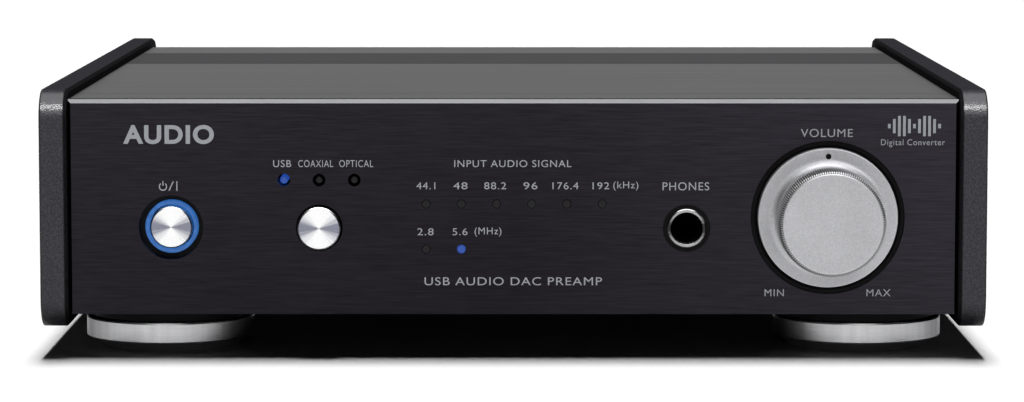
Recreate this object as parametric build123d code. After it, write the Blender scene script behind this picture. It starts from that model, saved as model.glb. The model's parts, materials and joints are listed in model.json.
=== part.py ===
from build123d import *
import os

# A half-width desktop digital-to-analogue converter with a headphone amplifier.
# Millimetres, +Z up, front face towards -Y, +X to the right seen from the front.
# The origin is on the resting surface, under the middle of the whole object.

# Case
SIDE_OUTER_X = 107.5
SIDE_INNER_X = 101.3
SIDE_FRONT_Y = -105.5
SIDE_REAR_Y = 119.0
SIDE_BOTTOM_Z = 6.8
SIDE_TOP_Z = 61.15
SIDE_CORNER_R = 6.8
SIDE_OUTER_EDGE_R = 0.5
SIDE_INNER_CHAMFER = 0.7

PANEL_HALF_WIDTH = 101.0
PANEL_FACE_Y = -103.5
PANEL_BACK_Y = -100.3
PANEL_BOTTOM_Z = 10.05
CASE_TOP_Z = 59.05
PANEL_TOP_CHAMFER = 0.88
PANEL_SIDE_CHAMFER = 0.6

SHEET = 1.0
BRACKET_THICK = 1.2
COVER_THICK = 1.6
TRAY_BOTTOM_Z = 9.7
TRAY_FLOOR_Z = TRAY_BOTTOM_Z + SHEET
COVER_SEAT_Z = CASE_TOP_Z - COVER_THICK
BRACKET_BACK_Y = PANEL_BACK_Y + BRACKET_THICK
REAR_OUTER_Y = 104.0
REAR_INNER_Y = REAR_OUTER_Y - SHEET
COVER_REAR_Y = REAR_OUTER_Y + SHEET
TRAY_LIP = 8.0
COVER_LIP = 6.0
COVER_GROOVE_Y = -84.3
COVER_GROOVE_WIDTH = 0.35
COVER_GROOVE_DEPTH = 0.25

# Feet
FOOT_X = 80.2
FOOT_FRONT_Y = -78.5
FOOT_REAR_Y = 80.0
FOOT_RING_R = 19.6
FOOT_RING_INNER_R = 17.3
FOOT_PAD_TOP_Z = 2.25
FOOT_RING_TOP_Z = 7.3
FOOT_PAD_R = (15.6, 17.2)
FOOT_PAD_HOLE_R = 6.5
FOOT_NECK_R = 18.4

# Controls on the front panel, as (x, z)
POWER = (-77.8, 29.9)
SELECTOR = (-44.1, 29.8)
PHONES = (39.4, 29.7)
VOLUME = (71.45, 32.15)
LAMP_PITCH = 8.0
INPUT_LAMPS = [(SELECTOR[0] + LAMP_PITCH * i, 40.7) for i in (-1, 0, 1)]
RATE_LAMPS = [(0.2 + LAMP_PITCH * (i - 2.5), 35.25) for i in range(6)]
FINE_RATE_LAMPS = [(0.2 + LAMP_PITCH * (i - 2.5), 24.9) for i in range(2)]
LAMP_HOLE_R = 1.45
LAMP_LENS_R = 0.92
RATE_HOLE_R = 1.02
RATE_LENS_R = 0.97
LAMP_FACE_Y = PANEL_FACE_Y + 0.5
RATE_FACE_Y = PANEL_FACE_Y + 0.08

POWER_HOLE_R = 7.35
POWER_CAP_R = 4.8
POWER_CAP_FACE_Y = PANEL_FACE_Y
LIGHT_RING_R = (5.05, 6.0)
LIGHT_RING_FACE_Y = PANEL_FACE_Y + 1.5
SELECTOR_HOLE_R = 5.3
SELECTOR_CAP_R = 4.9
SELECTOR_CAP_FACE_Y = PANEL_FACE_Y - 2.0
CAP_CHAMFER = 0.35
STEM_R = 2.0
STEM_BORE_R = 2.05
BUTTON_TRAVEL = 0.8

# Volume control
KNOB_RING_R = (16.3, 17.425)
KNOB_HOLE_R = 17.5
KNOB_FLANGE_R = 15.9
KNOB_GRIP_R = 12.15
KNOB_FACE_R = 11.0
KNOB_FACE_Y = -119.0
KNOB_BACK_Y = -101.6
KNOB_FLANGE_FACE_Y = -104.6
KNOB_COVE = 1.3
KNOB_RIM = 1.4
SHAFT_R = 3.0
SHAFT_BORE_R = 3.05
BUSH_R = 4.5

# Headphone socket, for a quarter-inch plug
PHONES_BORE_R = 3.2
PHONES_NOSE_R = 5.35
PHONES_HOLE_R = 5.4
PHONES_RING_R = 4.48
PHONES_RING_FACE_Y = PANEL_FACE_Y - 0.4
PHONES_RING_BACK_Y = PANEL_FACE_Y + 2.0
PHONES_BORE_END_Y = -73.0

# Boards
BOARD_THICK = 1.6
FRONT_BOARD_Y = -94.0
MAIN_BOARD_Z = 16.5
MAIN_BOARD_TOP_Z = MAIN_BOARD_Z + BOARD_THICK
PHONES_BOARD_TOP_Z = PHONES[1] - 7.5
MAIN_BOARD_BOX = (-96.0, 58.0, -14.0, 101.0)
POWER_BOARD_BOX = (62.0, 98.0, -40.0, 101.0)
PHONES_BOARD_BOX = (31.0, 92.0, -98.0, -66.0)

# Rear connectors, as (x, z)
INLET = (79.5, 34.0)
XLR = [(-22.0, 34.0), (-52.0, 34.0)]
RCA = [(-80.0, 44.0), (-80.0, 24.0)]
COAXIAL = (12.0, 27.0)
RCA_BARREL_R = 4.15
RCA_SEAT_Y = 105.4
RCA_END_Y = 113.0
USB = (31.0, 23.8)
OPTICAL = (50.0, 24.6)
OPTICAL_HALF_WIDTH = 4.6
OPTICAL_HALF_HEIGHT = 4.5
OPTICAL_HINGE_Y = 104.6
OPTICAL_HINGE_DROP = 0.9
MODE_SWITCH = (12.0, 47.0)
FILTER_SWITCH = (40.0, 47.0)

# Two ring-core transformers
RING_CORES = [(-62.0, -50.0), (2.0, -50.0)]
WINDING_R = (11.0, 31.0)
WINDING_Z = (12.0, 44.0)


def block(x0, x1, y0, y1, z0, z1):
    return Pos((x0 + x1) / 2, (y0 + y1) / 2, (z0 + z1) / 2) * Box(x1 - x0, y1 - y0, z1 - z0)


def rod_y(place, radius, y0, y1):
    return Pos(place[0], (y0 + y1) / 2, place[1]) * Rot(90, 0, 0) * Cylinder(radius, y1 - y0)


def rod_z(x, y, radius, z0, z1):
    return Pos(x, y, (z0 + z1) / 2) * Cylinder(radius, z1 - z0)


def spin_y(place, outline):
    # outline is a closed list of (radius, y) about an axis parallel to Y
    return Pos(place[0], 0, place[1]) * revolve(make_face(Polyline(*outline, close=True)), Axis.Y)


def spin_z(x, y, outline):
    # outline is a closed list of (radius, z) about a vertical axis
    face = make_face(Polyline(*[(r, 0, z) for r, z in outline], close=True))
    return Pos(x, y, 0) * revolve(face, Axis.Z)


def group(shapes):
    return Compound(children=[solid for shape in shapes for solid in shape.solids()])


def pan_screw(head_r, head_h, shank_r, length):
    # stands on z = 0 with its head up and its shank down
    head = Pos(0, 0, head_h / 2) * Cylinder(head_r, head_h)
    head = chamfer(head.edges().group_by(Axis.Z)[-1], head_h * 0.3)
    slot = Pos(0, 0, head_h) * Box(head_r * 1.15, head_r * 0.25, head_h)
    shank = Pos(0, 0, -length / 2) * Cylinder(shank_r, length)
    return head + shank - slot - Rot(0, 0, 90) * slot


def chassis_tray():
    floor = block(-SIDE_INNER_X, SIDE_INNER_X, PANEL_BACK_Y, REAR_OUTER_Y, TRAY_BOTTOM_Z, TRAY_FLOOR_Z)
    tray = floor
    for side in (-1, 1):
        wall_x = sorted((side * (SIDE_INNER_X - SHEET), side * SIDE_INNER_X))
        lip_x = sorted((side * (SIDE_INNER_X - TRAY_LIP), side * SIDE_INNER_X))
        tray += block(*wall_x, BRACKET_BACK_Y, REAR_INNER_Y, TRAY_FLOOR_Z, COVER_SEAT_Z)
        tray += block(*lip_x, BRACKET_BACK_Y, REAR_INNER_Y, COVER_SEAT_Z - SHEET, COVER_SEAT_Z)
    for x, y in foot_places():
        tray -= rod_z(x, y, 2.05, TRAY_BOTTOM_Z, TRAY_FLOOR_Z)
    for side, y, z in side_screw_places():
        tray -= Pos(side * (SIDE_INNER_X - SHEET / 2), y, z) * Rot(0, 90, 0) * Cylinder(1.6, 2 * SHEET)
    for x, y in RING_CORES:
        tray -= rod_z(x, y, 3.1, TRAY_BOTTOM_Z, TRAY_FLOOR_Z)
    return tray


def foot_places():
    return [(x, y) for x in (-FOOT_X, FOOT_X) for y in (FOOT_FRONT_Y, FOOT_REAR_Y)]


def side_screw_places():
    return [(side, y, 30.0) for side in (-1, 1) for y in (-88.0, 4.0, 72.0)]


def side_panel(side):
    x0, x1 = sorted((side * SIDE_INNER_X, side * SIDE_OUTER_X))
    panel = block(x0, x1, SIDE_FRONT_Y, SIDE_REAR_Y, SIDE_BOTTOM_Z, SIDE_TOP_Z)
    panel = fillet(panel.edges().filter_by(Axis.X), SIDE_CORNER_R)
    faces = panel.faces().sort_by(Axis.X)
    outer = faces[0] if side < 0 else faces[-1]
    panel = fillet(outer.edges(), SIDE_OUTER_EDGE_R)
    faces = panel.faces().sort_by(Axis.X)
    inner = faces[-1] if side < 0 else faces[0]
    panel = chamfer(inner.edges(), SIDE_INNER_CHAMFER)
    for sign, y, z in side_screw_places():
        if sign == side:
            panel -= Pos(side * (SIDE_INNER_X + 2.0), y, z) * Rot(0, 90, 0) * Cylinder(1.45, 4.0)
    return panel


def top_cover():
    cover = block(-PANEL_HALF_WIDTH, PANEL_HALF_WIDTH, PANEL_BACK_Y, COVER_REAR_Y, COVER_SEAT_Z, CASE_TOP_Z)
    cover += block(-PANEL_HALF_WIDTH, PANEL_HALF_WIDTH, REAR_OUTER_Y, COVER_REAR_Y,
                   CASE_TOP_Z - COVER_LIP, COVER_SEAT_Z)
    groove_half = COVER_GROOVE_WIDTH / 2
    cover -= block(-PANEL_HALF_WIDTH, PANEL_HALF_WIDTH, COVER_GROOVE_Y - groove_half,
                   COVER_GROOVE_Y + groove_half, CASE_TOP_Z - COVER_GROOVE_DEPTH, CASE_TOP_Z)
    for x in cover_screw_xs():
        cover -= rod_y((x, CASE_TOP_Z - 3.8), 1.7, REAR_OUTER_Y - 1, COVER_REAR_Y + 1)
    return cover


def cover_screw_xs():
    return (-90.0, -35.0, 35.0, 90.0)


def front_panel():
    panel = block(-PANEL_HALF_WIDTH, PANEL_HALF_WIDTH, PANEL_FACE_Y, PANEL_BACK_Y, PANEL_BOTTOM_Z, CASE_TOP_Z)
    panel = chamfer(panel.edges().filter_by(Axis.X).group_by(Axis.Z)[-1].sort_by(Axis.Y)[0],
                    PANEL_TOP_CHAMFER)
    panel = chamfer(panel.edges().filter_by(Axis.Z).group_by(Axis.Y)[0], PANEL_SIDE_CHAMFER)
    holes = [(POWER, POWER_HOLE_R), (SELECTOR, SELECTOR_HOLE_R), (PHONES, PHONES_HOLE_R), (VOLUME, KNOB_HOLE_R)]
    holes += [(place, LAMP_HOLE_R) for place in INPUT_LAMPS]
    holes += [(place, RATE_HOLE_R) for place in RATE_LAMPS + FINE_RATE_LAMPS]
    for place, radius in holes:
        panel -= rod_y(place, radius, PANEL_FACE_Y - 1, PANEL_BACK_Y + 1)
    for place in front_screw_places():
        panel -= rod_y(place, 1.45, PANEL_BACK_Y - 2.0, PANEL_BACK_Y + 1)
    return panel


def front_screw_places():
    return [(x, z) for x in (-94.0, 0.0, 94.0) for z in (14.0, 53.0)]


def front_bracket():
    bracket = block(-100.0, 100.0, PANEL_BACK_Y, BRACKET_BACK_Y, TRAY_FLOOR_Z, COVER_SEAT_Z)
    holes = [(POWER, LIGHT_RING_R[1] + 0.1), (SELECTOR, SELECTOR_HOLE_R), (PHONES, PHONES_HOLE_R)]
    holes += [(VOLUME, BUSH_R + 0.1)]
    holes += [(place, LAMP_HOLE_R) for place in INPUT_LAMPS + RATE_LAMPS + FINE_RATE_LAMPS]
    holes += [(place, 1.6) for place in front_screw_places()]
    for place, radius in holes:
        bracket -= rod_y(place, radius, PANEL_BACK_Y - 1, BRACKET_BACK_Y + 1)
    return bracket


def rear_panel():
    panel = block(-SIDE_INNER_X, SIDE_INNER_X, REAR_INNER_Y, REAR_OUTER_Y, TRAY_FLOOR_Z, COVER_SEAT_Z)
    for place in XLR:
        panel -= rod_y(place, 12.0, REAR_INNER_Y - 1, REAR_OUTER_Y + 1)
    for place in RCA + [COAXIAL]:
        panel -= rod_y(place, 4.6, REAR_INNER_Y - 1, REAR_OUTER_Y + 1)
    for place in xlr_screw_places():
        panel -= rod_y(place, 1.45, REAR_INNER_Y - 1, REAR_OUTER_Y + 1)
    for x in cover_screw_xs():
        panel -= rod_y((x, CASE_TOP_Z - 3.8), 1.45, REAR_INNER_Y - 1, REAR_OUTER_Y + 1)
    windows = [(INLET, 13.7, 10.2), (USB, 6.1, 5.7), (OPTICAL, 6.6, 6.5)]
    windows += [(MODE_SWITCH, 4.0, 2.0), (FILTER_SWITCH, 4.0, 2.0)]
    for (x, z), half_width, half_height in windows:
        panel -= block(x - half_width, x + half_width, REAR_INNER_Y - 1, REAR_OUTER_Y + 1,
                       z - half_height, z + half_height)
    return panel


def foot_bodies():
    outline = [(2.1, 5.0), (5.5, 5.0), (5.5, FOOT_PAD_TOP_Z), (FOOT_RING_INNER_R, FOOT_PAD_TOP_Z),
               (FOOT_RING_INNER_R, FOOT_RING_TOP_Z), (FOOT_NECK_R, FOOT_RING_TOP_Z),
               (FOOT_NECK_R, TRAY_BOTTOM_Z), (2.1, TRAY_BOTTOM_Z)]
    return group(spin_z(x, y, outline) for x, y in foot_places())


def foot_rings():
    bevel = 0.35
    inner = FOOT_RING_INNER_R
    outline = [(inner, FOOT_PAD_TOP_Z), (FOOT_RING_R - bevel, FOOT_PAD_TOP_Z),
               (FOOT_RING_R, FOOT_PAD_TOP_Z + bevel), (FOOT_RING_R, FOOT_RING_TOP_Z - bevel),
               (FOOT_RING_R - bevel, FOOT_RING_TOP_Z), (inner, FOOT_RING_TOP_Z)]
    return group(spin_z(x, y, outline) for x, y in foot_places())


def foot_pads():
    outline = [(FOOT_PAD_HOLE_R, 0), (FOOT_PAD_R[0], 0), (FOOT_PAD_R[1], FOOT_PAD_TOP_Z),
               (FOOT_PAD_HOLE_R, FOOT_PAD_TOP_Z)]
    return group(spin_z(x, y, outline) for x, y in foot_places())


def foot_screws():
    screw = Rot(180, 0, 0) * pan_screw(4.0, 2.2, 1.95, 7.5)
    return group(Pos(x, y, 5.0) * screw for x, y in foot_places())


def case_screws():
    screw = pan_screw(2.7, 1.8, 1.4, 4.0)
    screws = []
    for x in cover_screw_xs():
        screws.append(Pos(x, COVER_REAR_Y, CASE_TOP_Z - 3.8) * Rot(-90, 0, 0) * screw)
    for x, z in xlr_screw_places():
        screws.append(Pos(x, REAR_OUTER_Y + 2.0, z) * Rot(-90, 0, 0) * screw)
    for side, y, z in side_screw_places():
        screws.append(Pos(side * (SIDE_INNER_X - SHEET), y, z) * Rot(0, -90 * side, 0) * screw)
    short = pan_screw(2.7, 1.8, 1.4, 3.0)
    for x, z in front_screw_places():
        screws.append(Pos(x, BRACKET_BACK_Y, z) * Rot(-90, 0, 0) * short)
    return group(screws)


def xlr_screw_places():
    return [(x + side * 9.5, z + side * 12.0) for x, z in XLR for side in (-1, 1)]


def volume_knob():
    # flange, hollow cove, straight grip and chamfered rim, with a hub inside the hollow back
    hub_r = 5.5
    hollow_r = 10.8
    hollow_y = -111.0
    hub_back_y = -104.0
    bore_end_y = -114.5
    bore_r = SHAFT_R + 0.02
    cove_end = (KNOB_GRIP_R, KNOB_FLANGE_FACE_Y - KNOB_COVE)
    cove_start = (KNOB_GRIP_R + KNOB_COVE, KNOB_FLANGE_FACE_Y)
    edges = Polyline((bore_r, bore_end_y), (bore_r, hub_back_y), (hub_r, hub_back_y), (hub_r, hollow_y),
                     (hollow_r, hollow_y), (hollow_r, KNOB_BACK_Y), (KNOB_FLANGE_R, KNOB_BACK_Y),
                     (KNOB_FLANGE_R, KNOB_FLANGE_FACE_Y), cove_start)
    edges += RadiusArc(cove_start, cove_end, KNOB_COVE)
    edges += Polyline(cove_end, (KNOB_GRIP_R, KNOB_FACE_Y + KNOB_RIM), (KNOB_FACE_R, KNOB_FACE_Y),
                      (0, KNOB_FACE_Y), (0, bore_end_y), (bore_r, bore_end_y))
    knob = Pos(VOLUME[0], 0, VOLUME[1]) * revolve(make_face(edges), Axis.Y)
    return knob - rod_y(pointer_place(), 0.65, KNOB_FLANGE_FACE_Y - 1, KNOB_FLANGE_FACE_Y + 0.8)


def pointer_place():
    return (VOLUME[0], VOLUME[1] + 14.0)


def knob_pointer():
    return rod_y(pointer_place(), 0.64, KNOB_FLANGE_FACE_Y, KNOB_FLANGE_FACE_Y + 0.8)


def knob_ring():
    inner, outer = KNOB_RING_R
    front = PANEL_FACE_Y + 0.3
    return spin_y(VOLUME, [(inner, front + 0.3), (inner + 0.3, front), (outer, front), (outer, PANEL_BACK_Y),
                           (inner, PANEL_BACK_Y)])


def volume_shaft():
    # a shaft with a flat for the knob, and the wiper disc on its inner end
    shaft = rod_y(VOLUME, SHAFT_R, -114.4, -93.0)
    shaft -= block(VOLUME[0] - 4, VOLUME[0] + 4, -115.0, -106.0, VOLUME[1] - 4, VOLUME[1] - 2.4)
    return shaft + rod_y(VOLUME, 7.0, -97.0, -93.0)


def volume_pot_body():
    x, z = VOLUME
    body = block(x - 8.5, x + 8.5, BRACKET_BACK_Y, -87.0, PHONES_BOARD_TOP_Z, z + 8.5)
    body += rod_y(VOLUME, BUSH_R, -103.4, BRACKET_BACK_Y)
    body -= rod_y(VOLUME, SHAFT_BORE_R, -104.0, -96.0)
    body -= rod_y(VOLUME, 7.4, -97.4, -92.6)
    return body


def volume_pot_nut():
    nut = extrude(Plane.XZ * RegularPolygon(6.9, 6), 2.2)
    nut = Pos(VOLUME[0], PANEL_BACK_Y, VOLUME[1]) * nut
    return nut - rod_y(VOLUME, BUSH_R + 0.02, PANEL_BACK_Y - 4, PANEL_BACK_Y + 1)


def power_button_cap():
    cap = rod_y(POWER, POWER_CAP_R, POWER_CAP_FACE_Y, BRACKET_BACK_Y - 0.5)
    cap = chamfer(cap.edges().group_by(Axis.Y)[0], CAP_CHAMFER)
    return cap - rod_y(POWER, STEM_R, -101.5, BRACKET_BACK_Y)


def selector_button_cap():
    cap = rod_y(SELECTOR, SELECTOR_CAP_R, SELECTOR_CAP_FACE_Y, BRACKET_BACK_Y - 0.5)
    cap = chamfer(cap.edges().group_by(Axis.Y)[0], CAP_CHAMFER)
    return cap - rod_y(SELECTOR, STEM_R, -101.5, BRACKET_BACK_Y)


def button_stem(place):
    return rod_y(place, STEM_R, -101.5, FRONT_BOARD_Y - 3.0)


def power_light_ring():
    # a clear tube around the cap, lit from behind, with a foot that rests on the guide
    inner, outer = LIGHT_RING_R
    return spin_y(POWER, [(inner, LIGHT_RING_FACE_Y), (outer, LIGHT_RING_FACE_Y), (outer, guide_front_y()),
                          (inner, guide_front_y())])


def guide_front_y():
    return BRACKET_BACK_Y + 0.9


def button_guide():
    # a plate behind the bracket with two sleeves for the stems and clearance for the lamps
    x0, x1 = POWER[0] - 10, SELECTOR[0] + 12
    y0 = guide_front_y()
    guide = block(x0, x1, y0, y0 + 1.2, POWER[1] - 9, INPUT_LAMPS[0][1] + 4)
    for x in (x0 + 2, x1 - 2):
        guide += block(x - 2, x + 2, BRACKET_BACK_Y, y0, POWER[1] - 9, POWER[1] - 5)
    for place in (POWER, SELECTOR):
        guide -= rod_y(place, STEM_BORE_R, y0 - 1, y0 + 2)
    for place in INPUT_LAMPS:
        guide -= rod_y(place, LAMP_LENS_R + 0.1, y0 - 1, y0 + 2)
    return guide


def button_switches():
    bodies = []
    for x, z in (POWER, SELECTOR):
        bodies.append(block(x - 3, x + 3, FRONT_BOARD_Y - 2.0, FRONT_BOARD_Y, z - 3, z + 3))
    return group(bodies)


def lamp_lens(place, radius, face_y, rounding):
    lens = rod_y(place, radius, face_y, FRONT_BOARD_Y - 1.0)
    return fillet(lens.edges().group_by(Axis.Y)[0], rounding)


def input_lens(place):
    return lamp_lens(place, LAMP_LENS_R, LAMP_FACE_Y, 0.4)


def rate_lens(place):
    return lamp_lens(place, RATE_LENS_R, RATE_FACE_Y, 0.15)


def lamp_lenses_lit():
    return group([input_lens(INPUT_LAMPS[0]), rate_lens(FINE_RATE_LAMPS[1])])


def lamp_lenses_off():
    lenses = [input_lens(place) for place in INPUT_LAMPS[1:]]
    lenses += [rate_lens(place) for place in RATE_LAMPS + FINE_RATE_LAMPS[:1]]
    return group(lenses)


def front_board():
    board = block(-94.0, 27.0, FRONT_BOARD_Y, FRONT_BOARD_Y + BOARD_THICK, 14.0, 53.5)
    # light sources behind the lenses
    for x, z in INPUT_LAMPS + RATE_LAMPS + FINE_RATE_LAMPS:
        board += block(x - 1, x + 1, FRONT_BOARD_Y - 1.0, FRONT_BOARD_Y, z - 1, z + 1)
    for x in (-90.0, 23.0):
        board += block(x - 2.5, x + 2.5, FRONT_BOARD_Y + BOARD_THICK, FRONT_BOARD_Y + 6, 20.0, 32.0)
    return board


def phones_jack_body():
    x, z = PHONES
    body = block(x - 7, x + 7, BRACKET_BACK_Y, -70.0, z - 7.5, z + 7.5)
    body += rod_y(PHONES, PHONES_NOSE_R, PANEL_FACE_Y, BRACKET_BACK_Y)
    body -= rod_y(PHONES, PHONES_RING_R + 0.02, PANEL_FACE_Y - 1, PHONES_RING_BACK_Y)
    return body - rod_y(PHONES, PHONES_BORE_R, PANEL_FACE_Y, PHONES_BORE_END_Y)


def phones_jack_ring():
    bevel = 0.35
    return spin_y(PHONES, [(PHONES_BORE_R, PHONES_RING_BACK_Y), (PHONES_BORE_R, PHONES_RING_FACE_Y + bevel),
                           (PHONES_BORE_R + bevel, PHONES_RING_FACE_Y),
                           (PHONES_RING_R - bevel, PHONES_RING_FACE_Y),
                           (PHONES_RING_R, PHONES_RING_FACE_Y + bevel),
                           (PHONES_RING_R, PHONES_RING_BACK_Y)])


def main_posts():
    return [(x, y) for x in (-90.0, -12.0, 52.0) for y in (-9.0, 60.0)]


def power_posts():
    return [(x, y) for x in (66.0, 94.0) for y in (-35.0, 60.0)]


def phones_posts():
    return [(x, -70.0) for x in (52.0, 88.0)]


def circuit_board(limits, top_z, posts):
    x0, x1, y0, y1 = limits
    board = block(x0, x1, y0, y1, top_z - BOARD_THICK, top_z)
    for x, y in posts:
        board -= rod_z(x, y, 1.6, top_z - 3, top_z + 1)
    return board


def board_standoffs():
    posts = []
    for places, top_z in board_levels():
        for x, y in places:
            posts.append(rod_z(x, y, 3.0, TRAY_FLOOR_Z, top_z) - rod_z(x, y, 1.3, top_z - 5.0, top_z))
    return group(posts)


def board_levels():
    return [(main_posts() + power_posts(), MAIN_BOARD_Z), (phones_posts(), PHONES_BOARD_TOP_Z - BOARD_THICK)]


def board_screws():
    screw = pan_screw(2.7, 1.8, 1.25, 5.0)
    return group(Pos(x, y, z + BOARD_THICK) * screw for places, z in board_levels() for x, y in places)


def chip_packages():
    # converters, receiver, amplifiers and regulators, all in black moulded packages
    chips = []
    for x in (-62.0, -40.0):
        chips.append(block(x - 5, x + 5, 40.0, 50.0, MAIN_BOARD_TOP_Z, MAIN_BOARD_TOP_Z + 1.4))
    chips.append(block(20.0, 34.0, 30.0, 44.0, MAIN_BOARD_TOP_Z, MAIN_BOARD_TOP_Z + 1.4))
    for i in range(4):
        x = -80.0 + 15.0 * i
        chips.append(block(x - 3, x + 3, 66.0, 71.0, MAIN_BOARD_TOP_Z, MAIN_BOARD_TOP_Z + 1.6))
    for i in range(3):
        y = -22.0 + 16.0 * i
        chips.append(block(86.0, 90.5, y - 5, y + 5, MAIN_BOARD_TOP_Z + 4, MAIN_BOARD_TOP_Z + 19))
    return group(chips)


def small_capacitors():
    return group(rod_z(-84.0 + 12.0 * i, y, 4.0, MAIN_BOARD_TOP_Z, MAIN_BOARD_TOP_Z + 11.5)
                 for i in range(6) for y in (8.0, 22.0))


def reservoir_capacitors():
    return group(rod_z(x, y, 9.0, MAIN_BOARD_TOP_Z, MAIN_BOARD_TOP_Z + 30.0)
                 for x, y in ((14.0, 4.0), (38.0, 4.0), (77.0, 30.0), (77.0, 50.0)))


def heat_sink():
    x0 = 90.5
    sink = block(x0, x0 + 2, -28.0, 16.0, MAIN_BOARD_TOP_Z, MAIN_BOARD_TOP_Z + 30)
    for i in range(12):
        y = -28.0 + 44.0 / 11.5 * i
        sink += block(x0 + 2, x0 + 7, y, y + 1.4, MAIN_BOARD_TOP_Z, MAIN_BOARD_TOP_Z + 30)
    return sink


def fuse():
    # a glass cartridge with its two end caps in clips
    z = MAIN_BOARD_TOP_Z + 4.5
    holder = rod_y((70.0, z), 2.5, -6.0, 14.0)
    for y in (-6.0, 9.0):
        holder += rod_y((70.0, z), 3.0, y, y + 5.0)
        holder += block(67.5, 72.5, y, y + 5.0, MAIN_BOARD_TOP_Z, z - 1.0)
    return holder


def transformer_windings():
    inner, outer = WINDING_R
    z0, z1 = WINDING_Z
    bevel = 4.0
    wall = 4.0
    outline = [(inner + bevel, z0), (outer - bevel, z0), (outer, z0 + bevel), (outer, z1 - bevel),
               (outer - bevel, z1), (inner + bevel, z1), (inner, z1 - bevel), (inner, z0 + bevel)]
    cavity = [(inner + wall, z0 + wall), (outer - wall, z0 + wall), (outer - wall, z1 - wall),
              (inner + wall, z1 - wall)]
    return group(spin_z(x, y, outline) - spin_z(x, y, cavity) for x, y in RING_CORES)


def transformer_cores():
    inner, outer = WINDING_R
    z0, z1 = WINDING_Z
    gap = 4.1
    outline = [(inner + gap, z0 + gap), (outer - gap, z0 + gap), (outer - gap, z1 - gap), (inner + gap, z1 - gap)]
    return group(spin_z(x, y, outline) for x, y in RING_CORES)


def transformer_clamps():
    # a rubber-faced plate below, a steel plate above and a bolt up through the middle
    pieces = []
    z0, z1 = WINDING_Z
    bolt = pan_screw(5.5, 3.0, 3.0, z1 + 1.5 - TRAY_BOTTOM_Z)
    for x, y in RING_CORES:
        pieces.append(rod_z(x, y, 26.0, TRAY_FLOOR_Z, z0) - rod_z(x, y, 3.1, TRAY_FLOOR_Z - 1, z0 + 1))
        pieces.append(rod_z(x, y, 24.0, z1, z1 + 1.5) - rod_z(x, y, 3.1, z1 - 1, z1 + 3))
        pieces.append(Pos(x, y, z1 + 1.5) * bolt)
    return group(pieces)


def transformer_leads():
    # two sleeved leads and the connector that takes them on the supply board
    lead_r = 1.2
    end_x = 66.0
    pieces = [block(end_x, end_x + 6, -21.0, -12.0, MAIN_BOARD_TOP_Z, 30.0)]
    for (x, y), z, turn_y in ((RING_CORES[0], 27.0, -16.4), (RING_CORES[1], 23.0, -16.4)):
        start = (x + 4, y + WINDING_R[1] + 0.1, z)
        path = FilletPolyline(start, (x + 4, turn_y, z), (end_x, turn_y, z), radius=1.8)
        section = Plane(origin=start, z_dir=(0, 1, 0)) * Circle(lead_r)
        pieces.append(sweep(section, path=path))
    return group(pieces)


def ribbon_cable():
    # a flat cable that crosses between the transformers, with a plug at each end
    thick = 0.8
    x0, x1 = -40.0, -20.0
    route = FilletPolyline((-90.4, 44.0), (-84.0, 52.0), (-12.0, 52.0), (-6.0, 44.0), (-6.0, 30.0), radius=4.0)
    strip = offset(route, thick / 2, kind=Kind.INTERSECTION, side=Side.BOTH)
    face = make_face(strip)
    cable = extrude(Plane.YZ.offset(x0) * face, x1 - x0)
    return cable


def mains_inlet_body():
    x, z = INLET
    body = block(x - 15, x + 15, REAR_OUTER_Y, REAR_OUTER_Y + 2.5, z - 12, z + 12)
    body = fillet(body.edges().filter_by(Axis.Y), 2.0)
    body += block(x - 13.5, x + 13.5, 86.0, REAR_OUTER_Y, z - 10, z + 10)
    return body - block(x - 12.2, x + 12.2, 90.0, REAR_OUTER_Y + 3, z - 8.3, z + 8.3)


def mains_inlet_blades():
    x, z = INLET
    places = ((x - 7, z - 2), (x + 7, z - 2), (x, z + 2))
    return group(block(px - 1, px + 1, 90.0, 103.0, pz - 2, pz + 2) for px, pz in places)


def rca_barrels():
    barrels = []
    for place in RCA + [COAXIAL]:
        outline = [(3.3, 97.0), (4.4, 97.0), (4.4, 101.0), (6.5, 101.0), (6.5, REAR_INNER_Y),
                   (4.4, REAR_INNER_Y), (4.4, RCA_SEAT_Y), (RCA_BARREL_R, RCA_SEAT_Y),
                   (RCA_BARREL_R, RCA_END_Y - 0.4), (RCA_BARREL_R - 0.4, RCA_END_Y), (3.3, RCA_END_Y)]
        barrels.append(spin_y(place, outline))
    return group(barrels)


def rca_cores():
    cores = []
    for place in RCA + [COAXIAL]:
        cores.append(rod_y(place, 3.28, 97.0, RCA_END_Y - 1.0) - rod_y(place, 1.65, REAR_OUTER_Y, RCA_END_Y))
    return group(cores)


def rca_washers():
    washers = []
    for place in RCA + [COAXIAL]:
        washers.append(spin_y(place, [(4.45, REAR_OUTER_Y), (6.6, REAR_OUTER_Y), (6.6, RCA_SEAT_Y - 0.4),
                                      (6.2, RCA_SEAT_Y), (4.45, RCA_SEAT_Y)]))
    return group(washers)


def xlr_shells():
    shells = []
    for x, z in XLR:
        flange = block(x - 13, x + 13, REAR_OUTER_Y, REAR_OUTER_Y + 2, z - 15.5, z + 15.5)
        flange = fillet(flange.edges().filter_by(Axis.Y), 3.0)
        shell = flange + rod_y((x, z), 11.6, 88.0, REAR_OUTER_Y)
        shells.append(shell - rod_y((x, z), 9.5, 87.0, REAR_OUTER_Y + 3))
    shells = group(shells)
    for place in xlr_screw_places():
        shells -= rod_y(place, 1.6, REAR_OUTER_Y - 1, REAR_OUTER_Y + 3)
    return shells


def xlr_inserts():
    return group(rod_y(place, 9.48, 88.0, 91.5) for place in XLR)


def xlr_pins():
    pins = []
    for x, z in XLR:
        for dx, dz in ((-3.5, 1.5), (3.5, 1.5), (0.0, -3.5)):
            pin = rod_y((x + dx, z + dz), 1.2, 91.5, 103.5)
            pins.append(fillet(pin.edges().group_by(Axis.Y)[-1], 0.6))
    return group(pins)


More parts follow.
